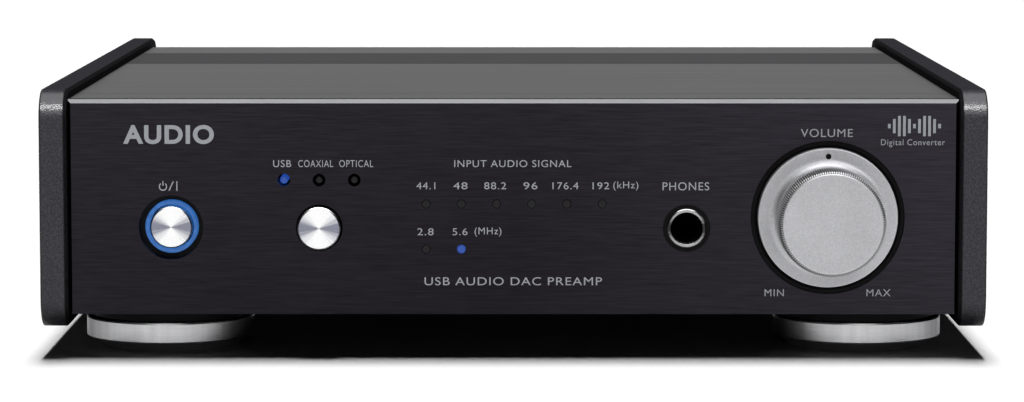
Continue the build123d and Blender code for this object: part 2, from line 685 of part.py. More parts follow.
def usb_shell():
    x, z = USB
    y0, y1 = 90.0, REAR_OUTER_Y + 0.6
    outer = block(x - 6, x + 6, y0, y1, z - 5.6, z + 5.6)
    return outer - block(x - 5.6, x + 5.6, y0 + 0.4, y1 + 1, z - 5.2, z + 5.2)


def usb_insulator():
    x, z = USB
    y1 = REAR_OUTER_Y + 0.2
    core = block(x - 5.58, x + 5.58, 90.4, y1, z - 5.18, z + 5.18)
    core -= block(x - 4.3, x + 4.3, 94.0, y1 + 1, z - 3.95, z + 3.95)
    return core + block(x - 2.8, x + 2.8, 93.0, y1 - 1.5, z - 1.6, z + 1.6)


def optical_hinge_z():
    return OPTICAL[1] + OPTICAL_HALF_HEIGHT - OPTICAL_HINGE_DROP


def optical_housing():
    x, z = OPTICAL
    body = block(x - 6.5, x + 6.5, 90.0, 106.0, MAIN_BOARD_TOP_Z + 0.1, z + 6.2)
    body -= block(x - OPTICAL_HALF_WIDTH, x + OPTICAL_HALF_WIDTH, 95.0, 107.0,
                  z - OPTICAL_HALF_HEIGHT, z + OPTICAL_HALF_HEIGHT)
    axle = Pos(x, OPTICAL_HINGE_Y, optical_hinge_z()) * Rot(0, 90, 0) * Cylinder(0.55, 11.2)
    return body - axle


def optical_shutter():
    x, z = OPTICAL
    half = 0.4
    top = optical_hinge_z()
    door = block(x - 4.3, x + 4.3, OPTICAL_HINGE_Y - half, OPTICAL_HINGE_Y + half,
                 z - OPTICAL_HALF_HEIGHT + 0.35, top)
    door += Pos(x, OPTICAL_HINGE_Y, top) * Rot(0, 90, 0) * Cylinder(0.5, 10.8)
    return door


def slide_switch_bodies():
    bodies = []
    for x, z in (MODE_SWITCH, FILTER_SWITCH):
        body = block(x - 8, x + 8, 96.5, REAR_INNER_Y, z - 4, z + 4)
        bodies.append(body - block(x - 4.0, x + 4.0, 98.5, REAR_INNER_Y + 1, z - 1.8, z + 1.8))
    return group(bodies)


def slide_switch_knob(place):
    # rests at its left stop, seen from the front, and slides 4 mm towards +X
    x, z = place[0] - 2.0, place[1]
    knob = block(x - 1.6, x + 1.6, 98.8, 105.2, z - 1.5, z + 1.5)
    return chamfer(knob.edges().filter_by(Axis.Z).group_by(Axis.Y)[-1], 0.3)


PARTS = {
    "front_panel": front_panel(),
    "front_bracket": front_bracket(),
    "top_cover": top_cover(),
    "chassis_tray": chassis_tray(),
    "rear_panel": rear_panel(),
    "side_panel_left": side_panel(-1),
    "side_panel_right": side_panel(1),
    "foot_bodies": foot_bodies(),
    "foot_rings": foot_rings(),
    "foot_pads": foot_pads(),
    "foot_screws": foot_screws(),
    "case_screws": case_screws(),
    "volume_knob": volume_knob(),
    "knob_pointer": knob_pointer(),
    "knob_ring": knob_ring(),
    "volume_shaft": volume_shaft(),
    "volume_pot_body": volume_pot_body(),
    "volume_pot_nut": volume_pot_nut(),
    "power_button_cap": power_button_cap(),
    "power_button_stem": button_stem(POWER),
    "power_light_ring": power_light_ring(),
    "selector_button_cap": selector_button_cap(),
    "selector_button_stem": button_stem(SELECTOR),
    "button_guide": button_guide(),
    "button_switches": button_switches(),
    "lamp_lenses_lit": lamp_lenses_lit(),
    "lamp_lenses_off": lamp_lenses_off(),
    "front_board": front_board(),
    "phones_jack_body": phones_jack_body(),
    "phones_jack_ring": phones_jack_ring(),
    "headphone_board": circuit_board(PHONES_BOARD_BOX, PHONES_BOARD_TOP_Z, phones_posts()),
    "main_board": circuit_board(MAIN_BOARD_BOX, MAIN_BOARD_TOP_Z, main_posts()),
    "power_board": circuit_board(POWER_BOARD_BOX, MAIN_BOARD_TOP_Z, power_posts()),
    "board_standoffs": board_standoffs(),
    "board_screws": board_screws(),
    "chip_packages": chip_packages(),
    "small_capacitors": small_capacitors(),
    "reservoir_capacitors": reservoir_capacitors(),
    "heat_sink": heat_sink(),
    "fuse": fuse(),
    "transformer_windings": transformer_windings(),
    "transformer_cores": transformer_cores(),
    "transformer_clamps": transformer_clamps(),
    "transformer_leads": transformer_leads(),
    "ribbon_cable": ribbon_cable(),
    "mains_inlet_body": mains_inlet_body(),
    "mains_inlet_blades": mains_inlet_blades(),
    "rca_barrels": rca_barrels(),
    "rca_cores": rca_cores(),
    "rca_washers": rca_washers(),
    "xlr_shells": xlr_shells(),
    "xlr_inserts": xlr_inserts(),
    "xlr_pins": xlr_pins(),
    "usb_shell": usb_shell(),
    "usb_insulator": usb_insulator(),
    "optical_housing": optical_housing(),
    "optical_shutter": optical_shutter(),
    "slide_switch_bodies": slide_switch_bodies(),
    "mode_switch_knob": slide_switch_knob(MODE_SWITCH),
    "filter_switch_knob": slide_switch_knob(FILTER_SWITCH),
}

os.makedirs("parts", exist_ok=True)
for name, shape in PARTS.items():
    export_step(shape, f"parts/{name}.step")
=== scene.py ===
import json
import math

import bmesh
import bpy
from mathutils import Euler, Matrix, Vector

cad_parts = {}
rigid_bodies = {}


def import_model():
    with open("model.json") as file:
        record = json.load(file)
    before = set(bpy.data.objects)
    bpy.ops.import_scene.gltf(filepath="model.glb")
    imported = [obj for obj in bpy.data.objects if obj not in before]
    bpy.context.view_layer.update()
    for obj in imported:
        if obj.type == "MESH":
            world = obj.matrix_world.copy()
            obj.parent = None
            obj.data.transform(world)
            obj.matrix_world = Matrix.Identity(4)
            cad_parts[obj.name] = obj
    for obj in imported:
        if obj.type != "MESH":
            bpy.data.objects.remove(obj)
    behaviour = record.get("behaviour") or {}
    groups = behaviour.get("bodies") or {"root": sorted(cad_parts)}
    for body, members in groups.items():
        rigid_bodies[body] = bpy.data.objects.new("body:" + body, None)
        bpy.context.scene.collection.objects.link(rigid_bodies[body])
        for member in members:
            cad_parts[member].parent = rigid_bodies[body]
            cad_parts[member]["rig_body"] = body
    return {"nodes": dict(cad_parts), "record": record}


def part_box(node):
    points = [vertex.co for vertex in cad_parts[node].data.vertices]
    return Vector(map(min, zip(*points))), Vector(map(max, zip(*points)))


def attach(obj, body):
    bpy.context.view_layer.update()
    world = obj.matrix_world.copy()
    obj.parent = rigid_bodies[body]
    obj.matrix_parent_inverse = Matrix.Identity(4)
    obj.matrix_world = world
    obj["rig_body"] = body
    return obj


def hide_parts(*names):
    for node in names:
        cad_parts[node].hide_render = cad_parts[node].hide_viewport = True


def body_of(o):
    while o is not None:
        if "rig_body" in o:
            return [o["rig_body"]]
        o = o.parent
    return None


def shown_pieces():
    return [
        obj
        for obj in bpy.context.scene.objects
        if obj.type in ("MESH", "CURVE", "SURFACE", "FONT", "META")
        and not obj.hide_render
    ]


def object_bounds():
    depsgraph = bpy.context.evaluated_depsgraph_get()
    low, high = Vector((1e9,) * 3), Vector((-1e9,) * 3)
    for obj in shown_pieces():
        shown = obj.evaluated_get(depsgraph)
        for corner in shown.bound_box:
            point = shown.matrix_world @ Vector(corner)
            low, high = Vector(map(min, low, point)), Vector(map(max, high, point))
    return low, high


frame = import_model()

cad_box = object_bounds()
MM = 0.001
NODES = frame["nodes"]
SLOT_OF = {row["node"]: row["material_slot"] for row in frame["record"]["subparts"]}
FLOOR_Z = cad_box[0][2]


# ---------------------------------------------------------------- places, in mm, read from the frame
def mm(vector):
    return tuple(value / MM for value in vector)


def node_box(node):
    low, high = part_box(node)
    return mm(low), mm(high)


def node_centre(node):
    """The middle of a node's outline as seen from the front, as (x, z)."""
    (x0, _, z0), (x1, _, z1) = node_box(node)
    return ((x0 + x1) / 2, (z0 + z1) / 2)


FACE_Y = node_box("front_panel")[0][1]
FACE_HALF_WIDTH = node_box("front_panel")[1][0]
VOLUME = node_centre("volume_shaft")
POWER = node_centre("power_button_cap")
SELECTOR = node_centre("selector_button_cap")
PHONES = node_centre("phones_jack_ring")
REAR_Y = node_box("rear_panel")[1][1]


# ---------------------------------------------------------------- camera
CAMERA_PLACE = Vector((0.63, -979.1, 120.7)) * MM
CAMERA_TILT = 5.53      # degrees down
CAMERA_YAW = 0.06
CAMERA_LENS = 136.15
SENSOR_WIDTH = 36.0


def put(thing):
    bpy.context.scene.collection.objects.link(thing)


def add_camera():
    data = bpy.data.cameras.new("camera")
    data.sensor_width = SENSOR_WIDTH
    data.lens = CAMERA_LENS
    data.clip_start = 0.01
    data.clip_end = 100.0
    camera = bpy.data.objects.new("camera", data)
    camera.location = CAMERA_PLACE
    camera.rotation_euler = Euler((math.radians(90 - CAMERA_TILT), 0, math.radians(CAMERA_YAW)))
    put(camera)
    bpy.context.scene.camera = camera


# ---------------------------------------------------------------- node helpers
SOCKETS = {
    "color": "Base Color",
    "metallic": "Metallic",
    "roughness": "Roughness",
    "ior": "IOR",
    "specular": "Specular IOR Level",
    "anisotropic": "Anisotropic",
    "coat": "Coat Weight",
    "coat_roughness": "Coat Roughness",
    "emission_strength": "Emission Strength",
    "transmission": "Transmission Weight",
}


def grey(value, blue=0.0):
    return (value, value, value + blue, 1)


class Shader:
    """A material with its node tree and a few short ways to add nodes."""

    def __init__(self, name):
        self.material = bpy.data.materials.new(name)
        self.material.use_nodes = True
        self.tree = self.material.node_tree
        self.bsdf = self.tree.nodes["Principled BSDF"]

    def add(self, kind, **inputs):
        node = self.tree.nodes.new(kind)
        for key, value in inputs.items():
            setattr(node, key, value)
        return node

    def link(self, start, end):
        self.tree.links.new(start, end)

    def feed(self, output, name):
        self.link(output, self.bsdf.inputs[name])

    def set(self, **values):
        for key, value in values.items():
            self.bsdf.inputs[SOCKETS[key]].default_value = value

    def place(self, scale=(1, 1, 1)):
        """The place on the object, in metres, stretched by a scale."""
        coords = self.add("ShaderNodeTexCoord")
        mapping = self.add("ShaderNodeMapping")
        mapping.inputs["Scale"].default_value = scale
        self.link(coords.outputs["Object"], mapping.inputs["Vector"])
        return mapping.outputs["Vector"]

    def unrolled(self, axis):
        """The place in a lathed piece's own map: X is the share of a turn, Y the way along its outline."""
        return self.part(self.add("ShaderNodeTexCoord").outputs["UV"], axis)

    def normal(self, axis):
        return self.part(self.add("ShaderNodeNewGeometry").outputs["Normal"], axis)

    def part(self, vector, axis):
        parts = self.add("ShaderNodeSeparateXYZ")
        self.link(vector, parts.inputs[0])
        return parts.outputs[axis]

    def noise(self, vector, scale=1.0, detail=3.0, roughness=0.5):
        node = self.add("ShaderNodeTexNoise")
        node.inputs["Scale"].default_value = scale
        node.inputs["Detail"].default_value = detail
        node.inputs["Roughness"].default_value = roughness
        self.link(vector, node.inputs["Vector"])
        return node.outputs["Fac"]

    def noise_along(self, value, scale, detail=2.0):
        node = self.add("ShaderNodeTexNoise", noise_dimensions="1D")
        node.inputs["Scale"].default_value = scale
        node.inputs["Detail"].default_value = detail
        self.link(value, node.inputs["W"])
        return node.outputs["Fac"]

    def ramp(self, value, low, high, start=0.3, end=0.7):
        """Maps a value between two numbers."""
        node = self.add("ShaderNodeMapRange")
        node.inputs["From Min"].default_value = start
        node.inputs["From Max"].default_value = end
        node.inputs["To Min"].default_value = low
        node.inputs["To Max"].default_value = high
        self.link(value, node.inputs["Value"])
        return node.outputs["Result"]

    def blend(self, share, first, second):
        """Mixes two colours, each a socket or a plain colour."""
        mix = self.add("ShaderNodeMix", data_type="RGBA")
        self.link(share, mix.inputs["Factor"])
        for colour, name in ((first, "A"), (second, "B")):
            socket = next(i for i in mix.inputs if i.name == name and i.type == "RGBA")
            if isinstance(colour, tuple):
                socket.default_value = colour
            else:
                self.link(colour, socket)
        return next(o for o in mix.outputs if o.type == "RGBA")

    def tint(self, value, low, high, start=0.3, end=0.7):
        """Maps a value between two colours."""
        return self.blend(self.ramp(value, 0.0, 1.0, start, end), low, high)

    def slanted(self, axis, start=0.18, end=0.97):
        """One where the surface slants away from an axis, zero where it faces along or across it."""
        facing = self.math("ABSOLUTE", self.normal(axis))
        return self.math("MULTIPLY", self.ramp(facing, 0.0, 1.0, start, start + 0.1),
                         self.ramp(facing, 1.0, 0.0, end - 0.05, end))

    def inward(self):
        """One where the surface is turned towards the object's middle plane, zero elsewhere."""
        side = self.part(self.place(scale=(10, 10, 10)), "X")
        return self.ramp(self.math("MULTIPLY", self.normal("X"), side), 1.0, 0.0, -0.3, -0.1)

    def multiply(self, first, second):
        """Multiplies two colour sockets."""
        mix = self.add("ShaderNodeMix", data_type="RGBA", blend_type="MULTIPLY")
        mix.inputs["Factor"].default_value = 1.0
        colours = [i for i in mix.inputs if i.type == "RGBA"]
        self.link(first, colours[0])
        self.link(second, colours[1])
        return next(o for o in mix.outputs if o.type == "RGBA")

    def round_about(self, turn, scale):
        """A noise around a full turn that closes on itself."""
        angle = self.math("MULTIPLY", turn, 2 * math.pi)
        node = self.add("ShaderNodeCombineXYZ")
        self.link(self.math("COSINE", angle), node.inputs["X"])
        self.link(self.math("SINE", angle), node.inputs["Y"])
        return self.noise(node.outputs["Vector"], scale=scale, detail=2.0)

    def mean(self, first, second, share):
        """A weighted mean of two values, where share is the second one's weight."""
        mix = self.add("ShaderNodeMix", data_type="FLOAT")
        mix.inputs["Factor"].default_value = share
        self.link(first, mix.inputs["A"])
        self.link(second, mix.inputs["B"])
        return mix.outputs["Result"]

    def math(self, operation, first, second=0.0):
        node = self.add("ShaderNodeMath", operation=operation)
        for index, value in enumerate((first, second)):
            if isinstance(value, (int, float)):
                node.inputs[index].default_value = value
            else:
                self.link(value, node.inputs[index])
        return node.outputs[0]

    def bump(self, height, distance, target="Normal"):
        node = self.add("ShaderNodeBump")
        node.inputs["Strength"].default_value = 1.0
        node.inputs["Distance"].default_value = distance
        self.link(height, node.inputs["Height"])
        self.feed(node.outputs["Normal"], target)


# ---------------------------------------------------------------- materials
HAIRLINE_RELIEF = 0.002 * MM
GROOVE_RELIEF = 0.0015 * MM
PANEL_SHADED_ENDS = 0.3             # width of the painted shade along the panel's ends, where they meet the side panels, in mm
COVER_BAND_Y = (28.2, 76.1)
COVER_BAND_SOFT = 0.4       # half the width of the band's soft edge, in mm
COVER_METAL = 0.7
BAND_METAL = 0.3
BAND_DULLER = 0.35          # how much rougher the band is
KNURL_TEETH = 144


def brushed(m, dark, light, rough, fine_scale, coarse_scale, stretch=30, duller=None):
    """Hairlines along X, coarse and fine, over a faint cloudiness. Returns their colour."""
    fine = m.noise(m.place(scale=(fine_scale / stretch, fine_scale, fine_scale)), detail=2.0)
    coarse = m.noise(m.place(scale=(coarse_scale / stretch, coarse_scale, coarse_scale)), detail=2.0)
    cloud = m.noise(m.place(scale=(9, 20, 20)), detail=2.0)
    streak = m.mean(fine, coarse, 0.45)
    roughness = m.ramp(streak, rough[0], rough[1])
    if duller is not None:
        roughness = m.math("ADD", roughness, duller)
    m.feed(roughness, "Roughness")
    m.bump(streak, HAIRLINE_RELIEF)
    return m.tint(m.mean(streak, cloud, 0.15), dark, light, 0.36, 0.64)


def panel_finish(name, dark, light, edge, rough):
    """Hairline front panel with painted light that makes it lighter towards the top and the ends, most at the
    top right, painted shade along its ends and a painted highlight on its top chamfer.
    """
    m = Shader(name)
    streaks = brushed(m, dark, light, rough, 5200, 2500)
    place = m.place()
    across = m.part(place, "X")
    outward = m.math("ABSOLUTE", across)
    # Painted light: the colour grows lighter towards the top and out to both ends, most at the top right.
    painted_light_drift = m.math("ADD", m.math("MULTIPLY", outward, 2.85), m.math("MULTIPLY", across, 1.45))
    painted_light_drift = m.math("ADD", painted_light_drift, m.math("MULTIPLY", m.part(place, "Z"), 4.6))
    streaks = m.multiply(streaks, m.tint(painted_light_drift, grey(0.5), grey(1.16), 0.0, 0.66))
    shaded_ends = m.ramp(outward, 0.0, 1.0, (FACE_HALF_WIDTH - PANEL_SHADED_ENDS) * MM, FACE_HALF_WIDTH * MM)
    # Painted shade: near black along the panel's two ends, where it meets the side panels.
    streaks = m.blend(shaded_ends, streaks, grey(0.006))
    # Painted highlight: the top chamfer, found by its upward tilt, takes the colour passed as edge.
    tilt = m.normal("Z")
    cut = m.math("MULTIPLY", m.ramp(tilt, 0.0, 1.0, 0.5, 0.6), m.ramp(tilt, 1.0, 0.0, 0.8, 0.9))
    m.feed(m.blend(cut, streaks, edge), "Base Color")
    m.set(metallic=1.0)
    return m.material


def cover_finish(name, dark, light, band_colour, rough):
    """Hairline cover with a duller crosswise band near the rear."""
    m = Shader(name)
    along = m.part(m.place(), "Y")
    start, end = (value * MM for value in COVER_BAND_Y)
    soft = COVER_BAND_SOFT * MM
    inside = m.math("MULTIPLY", m.ramp(along, 0.0, 1.0, start - soft, start + soft),
                    m.ramp(along, 1.0, 0.0, end - soft, end + soft))
    duller = m.ramp(inside, 0.0, BAND_DULLER, 0.0, 1.0)
    streaks = brushed(m, dark, light, rough, 1900, 440, stretch=80, duller=duller)
    m.feed(m.blend(inside, streaks, band_colour), "Base Color")
    m.feed(m.ramp(inside, COVER_METAL, BAND_METAL, 0.0, 1.0), "Metallic")
    return m.material


def painted_reflection_wedges(m, dim, start=0.2, end=0.8, quarter=0.0, unevenness=0.6):
    """Painted reflection: bright wedges on two opposite sides of a turned surface and painted dark wedges
    between them.
    """
    turn = m.unrolled("X")
    streaks = m.round_about(turn, 12.0)
    angle = m.math("MULTIPLY", m.math("ADD", turn, quarter), 2 * math.pi)
    swing = m.math("ABSOLUTE", m.math("SINE", angle))
    swing = m.math("ADD", swing, m.math("MULTIPLY", m.math("SUBTRACT", streaks, 0.5), unevenness))
    return m.tint(swing, dim, grey(1.0), start, end)


def turned(name, dark, light, dim, rough, anisotropic, pitch=0.09, **painted_wedges):
    """Metal turned on a lathe: fine grooves that follow the turning, with painted reflection wedges in its
    colour. pitch is in mm.
    """
    m = Shader(name)
    along = m.unrolled("Y")
    grooves = m.noise_along(along, 10 / pitch)
    bands = m.noise_along(along, 3.0)
    grain = m.noise(m.place(), scale=2600, detail=2.0)
    base = m.tint(m.mean(m.mean(grooves, bands, 0.4), grain, 0.25), dark, light)
    # Painted reflection: the grooves' colour times bright and dark wedges around the turn.
    m.feed(m.multiply(base, painted_reflection_wedges(m, dim, **painted_wedges)), "Base Color")
    m.feed(m.ramp(grooves, rough[0], rough[1]), "Roughness")
    m.bump(grooves, GROOVE_RELIEF)
    m.set(metallic=1.0, anisotropic=anisotropic)
    tangent = m.add("ShaderNodeTangent", direction_type="UV_MAP", uv_map="turning")
    m.feed(tangent.outputs["Tangent"], "Tangent")
    return m.material


def knurled(name, shaded_trough, lit_crest):
    """The straight knurl of the knob's grip: painted shade between the teeth and a painted highlight on them.
    """
    m = Shader(name)
    phase = m.math("FRACT", m.math("MULTIPLY", m.unrolled("X"), KNURL_TEETH))
    off_centre = m.math("ABSOLUTE", m.math("SUBTRACT", phase, 0.5))
    tooth = m.math("SUBTRACT", 1.0, m.math("MULTIPLY", off_centre, 2.0))
    grain = m.noise(m.place(), scale=3000, detail=2.0)
    # Painted shade in the troughs and painted highlight on the crests, tooth by tooth.
    m.feed(m.tint(m.mean(tooth, grain, 0.3), shaded_trough, lit_crest, 0.25, 0.85), "Base Color")
    m.feed(m.ramp(grain, 0.4, 0.55), "Roughness")
    m.set(metallic=1.0)
    return m.material


def blasted(name, dark, light, rough):
    """Bead-blasted and anodised metal: a close matt grain."""
    m = Shader(name)
    beads = m.noise(m.place(), scale=3300, detail=3.0, roughness=0.6)
    fine = m.noise(m.place(), scale=9900, detail=2.0)
    wide = m.noise(m.place(), scale=60, detail=2.0)
    m.feed(m.tint(m.mean(m.mean(beads, fine, 0.35), wide, 0.2), dark, light), "Base Color")
    m.feed(m.ramp(beads, rough[0], rough[1]), "Roughness")
    m.bump(beads, 0.012 * MM)
    m.set(metallic=1.0)
    return m.material


def textured_coat(name, dark, light, relief, specular, grain=0.45, rough=(0.38, 0.5), gloss=0.0, painted_edge_shade=False):
    """A pebbled coat of paint with fine grain in it; relief and grain are in mm.
    When the edge shade is asked for, its colour is darkened as painted shade, and it is made dull, along
    slanted edges and where it is turned inward."""
    m = Shader(name)
    pebbles = m.add("ShaderNodeTexVoronoi", feature="SMOOTH_F1")
    pebbles.inputs["Scale"].default_value = 1 / (grain * MM)
    pebbles.inputs["Smoothness"].default_value = 0.6
    m.link(m.place(), pebbles.inputs["Vector"])
    fine = m.noise(m.place(), scale=6000, detail=3.0)
    wide = m.noise(m.place(), scale=60, detail=3.0)
    height = m.mean(pebbles.outputs["Distance"], fine, 0.35)
    colour = m.tint(m.mean(height, wide, 0.2), dark, light)
    roughness = m.ramp(height, rough[0], rough[1])
    if painted_edge_shade:
        # Painted shade: slanted edges and faces turned inward are darkened to a fifth.
        edge_shade = m.math("MAXIMUM", m.slanted("X"), m.inward())
        colour = m.multiply(colour, m.tint(edge_shade, grey(1.0), grey(0.2), 0.0, 1.0))
        roughness = m.math("MAXIMUM", roughness, m.ramp(edge_shade, 0.0, 0.95, 0.0, 1.0))
    m.feed(colour, "Base Color")
    m.feed(roughness, "Roughness")
    m.bump(height, relief * MM)
    if gloss:
        m.bump(height, relief * MM * 1.1, target="Coat Normal")
    m.set(specular=specular, coat=gloss, coat_roughness=0.14)
    return m.material


def plastic(name, dark, light, rough=(0.4, 0.52), relief=0.008, specular=0.5):
    """Moulded plastic with a faint spark-eroded grain; relief is in mm."""
    m = Shader(name)
    fine = m.noise(m.place(), scale=2400, detail=3.0)
    wide = m.noise(m.place(), scale=90, detail=2.0)
    m.feed(m.tint(m.mean(fine, wide, 0.5), dark, light), "Base Color")
    m.feed(m.ramp(fine, rough[0], rough[1]), "Roughness")
    m.bump(fine, relief * MM)
    m.set(specular=specular)
    return m.material


def metal(name, dark, light, rough=(0.2, 0.35)):
    """Plain plated or rolled metal with a fine uneven grain."""
    m = Shader(name)
    fine = m.noise(m.place(), scale=1500, detail=4.0)
    wide = m.noise(m.place(), scale=70, detail=3.0)
    m.feed(m.tint(m.mean(fine, wide, 0.5), dark, light), "Base Color")
    m.feed(m.ramp(m.mean(fine, wide, 0.4), rough[0], rough[1]), "Roughness")
    m.bump(fine, 0.001 * MM)
    m.set(metallic=1.0)
    return m.material


def glowing(name, low, high, grain=900):
    """Clear plastic lit from behind, a little uneven."""
    m = Shader(name)
    wide = m.noise(m.place(), scale=grain, detail=2.0)
    m.feed(m.tint(wide, low, high), "Emission Color")
    m.feed(m.ramp(wide, 0.25, 0.4), "Roughness")
    m.set(color=(0.004, 0.010, 0.03, 1), emission_strength=1.0)
    return m.material


def ink(name, dark, light):
    """Screen-printed ink."""
    m = Shader(name)
    fine = m.noise(m.place(), scale=5000, detail=3.0)
    m.feed(m.tint(fine, dark, light), "Base Color")
    m.feed(m.ramp(fine, 0.5, 0.65), "Roughness")
    m.bump(fine, 0.003 * MM)
    m.set(specular=0.2)
    return m.material


def glass(name):
    """Clear glass with a faint smear."""
    m = Shader(name)
    smear = m.noise(m.place(), scale=120, detail=3.0)
    m.feed(m.ramp(smear, 0.02, 0.12), "Roughness")
    m.set(color=(0.9, 0.95, 0.95, 1), transmission=0.9, ior=1.5)
    return m.material


FINISHES = {
    # The front panel's third colour is the painted highlight on its top chamfer.
    "front_black": panel_finish("front_black", (0.027, 0.0243, 0.0312, 1), (0.048, 0.0435, 0.0555, 1),
                                (0.125, 0.125, 0.13, 1), (0.34, 0.46)),
    "cover_black": cover_finish("cover_black", grey(0.058), grey(0.112), grey(0.037, 0.003), (0.34, 0.48)),
    "side_black": textured_coat("side_black", (0.0015, 0.0015, 0.002, 1), (0.0105, 0.0094, 0.0140, 1),
                                relief=0.06, specular=0.2, rough=(0.46, 0.60), gloss=0.3, painted_edge_shade=True),
    # side_inner is a darker, duller copy of side_black for the faces turned inward; its darker colour is
    # painted shade.
    "side_inner": textured_coat("side_inner", (0.001, 0.001, 0.0012, 1), (0.004, 0.0038, 0.0046, 1),
                                relief=0.04, specular=0.03, rough=(0.8, 0.95)),
    "rear_black": textured_coat("rear_black", grey(0.004), grey(0.010), relief=0.02, specular=0.15,
                                grain=0.3),
    "knob_silver": blasted("knob_silver", grey(0.40, 0.015), grey(0.72, 0.025), rough=(0.46, 0.56)),
    # The turned finishes carry painted reflection wedges; the dark wedge colour and the wedge settings shape
    # that painted reflection.
    "button_silver": turned("button_silver", grey(0.90, 0.01), grey(1.0), dim=(0.26, 0.27, 0.33, 1),
                            rough=(0.22, 0.30), anisotropic=0.6, pitch=0.05),
    "foot_silver": turned("foot_silver", grey(0.58, 0.01), grey(0.70, 0.015), dim=(0.13, 0.13, 0.14, 1),
                          rough=(0.26, 0.36), anisotropic=0.7, start=0.4, end=1.05, quarter=0.25,
                          unevenness=0.2),
    "black_plastic": plastic("black_plastic", grey(0.003), grey(0.006), specular=0.08),
    "rubber_black": plastic("rubber_black", grey(0.06), grey(0.08), rough=(0.3, 0.4), relief=0.004),
    "light_blue": glowing("light_blue", (0.017, 0.092, 0.31, 1), (0.034, 0.148, 0.45, 1)),
    "lamp_blue": glowing("lamp_blue", (0.010, 0.046, 0.28, 1), (0.019, 0.074, 0.36, 1), grain=2000),
    "lamp_dark": plastic("lamp_dark", (0.006, 0.0055, 0.007, 1), (0.010, 0.009, 0.011, 1),
                         rough=(0.2, 0.3), specular=0.25),
    "chrome": metal("chrome", grey(0.62), grey(0.72), rough=(0.10, 0.18)),
    "socket_chrome": turned("socket_chrome", grey(0.36), grey(0.44), dim=grey(0.09), rough=(0.16, 0.24),
                            anisotropic=0.5),
    "gold": metal("gold", (0.70, 0.47, 0.16, 1), (0.80, 0.56, 0.22, 1), rough=(0.14, 0.24)),
    "nickel": metal("nickel", (0.52, 0.51, 0.48, 1), (0.62, 0.61, 0.58, 1), rough=(0.16, 0.3)),
    "screw_black": metal("screw_black", grey(0.03), grey(0.06), rough=(0.3, 0.45)),
    "screw_steel": metal("screw_steel", grey(0.45), grey(0.58)),
    "board_green": plastic("board_green", (0.01, 0.07, 0.03, 1), (0.015, 0.11, 0.045, 1), rough=(0.2, 0.35)),
    "chip_black": plastic("chip_black", grey(0.010), grey(0.018), rough=(0.5, 0.65)),
    "capacitor_sleeve": plastic("capacitor_sleeve", (0.01, 0.012, 0.03, 1), (0.015, 0.02, 0.05, 1),
                                rough=(0.2, 0.3)),
    "winding_wrap": plastic("winding_wrap", (0.35, 0.16, 0.04, 1), (0.55, 0.30, 0.08, 1), rough=(0.2, 0.35)),
    "core_steel": metal("core_steel", grey(0.2), grey(0.3)),
    "sink_black": metal("sink_black", grey(0.02), grey(0.04), rough=(0.35, 0.5)),
    "fuse_glass": glass("fuse_glass"),
    "lead_sleeve": plastic("lead_sleeve", (0.25, 0.02, 0.015, 1), (0.35, 0.03, 0.02, 1)),
    "cable_grey": plastic("cable_grey", grey(0.25), grey(0.33)),
    "white_plastic": plastic("white_plastic", grey(0.66, -0.03), grey(0.76, -0.03), rough=(0.25, 0.4)),
}
KNURLED = knurled("knurled", grey(0.012), grey(0.68, 0.01))
FRONT_INK = ink("front_ink", (0.37, 0.38, 0.405, 1), (0.46, 0.47, 0.50, 1))
MARK_INK = ink("mark_ink", (0.37, 0.385, 0.415, 1), (0.43, 0.445, 0.48, 1))
REAR_INK = ink("rear_ink", grey(0.50), grey(0.60))
RED_PLASTIC = plastic("red_plastic", (0.42, 0.02, 0.015, 1), (0.55, 0.035, 0.025, 1), rough=(0.25, 0.4))
ORANGE_PLASTIC = plastic("orange_plastic", (0.70, 0.20, 0.02, 1), (0.85, 0.28, 0.04, 1),
                         rough=(0.25, 0.4))


def finish_cad_nodes():
    for name, node in NODES.items():
        node.data.materials.clear()
        node.data.materials.append(FINISHES[SLOT_OF[name]])


# ---------------------------------------------------------------- mesh helpers
def add_piece(name, mesh, material, body, replaces=(), sharp=32):
    mesh.materials.append(material)
    for polygon in mesh.polygons:
        polygon.use_smooth = True
    mesh.set_sharp_from_angle(angle=math.radians(sharp))
    piece = bpy.data.objects.new(name, mesh)
    put(piece)
    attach(piece, body)
    if replaces:
        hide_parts(*replaces)
    return piece


def rounded(outline, radius, steps=4):
    """The outline with every corner turned into an arc, smaller where its sides are short."""
    points = [Vector(p) for p in outline]
    result = []
    for index, corner in enumerate(points):
        before = points[index - 1] - corner
        after = points[(index + 1) % len(points)] - corner
        reach = min(radius, before.length * 0.45, after.length * 0.45)
        first = corner + before.normalized() * reach
        last = corner + after.normalized() * reach
        for step in range(steps + 1):
            t = step / steps
            result.append((1 - t) ** 2 * first + 2 * t * (1 - t) * corner + t * t * last)
    return [tuple(p) for p in result]


def held(outline, hold=0.04):
    """The outline with extra points near its long sides' ends, which keep smooth shading at the corners."""
    result = []
    for index, start in enumerate(outline):
        end = outline[(index + 1) % len(outline)]
        result.append(tuple(start))
        span = Vector(end) - Vector(start)
        if span.length > 8 * hold:
            step = span.normalized() * hold
            result.append(tuple(Vector(start) + step))
            result.append(tuple(Vector(end) - step))
    return result


def finished(build, mesh):
    bmesh.ops.recalc_face_normals(build, faces=build.faces)
    build.to_mesh(mesh)
    build.free()
    return mesh


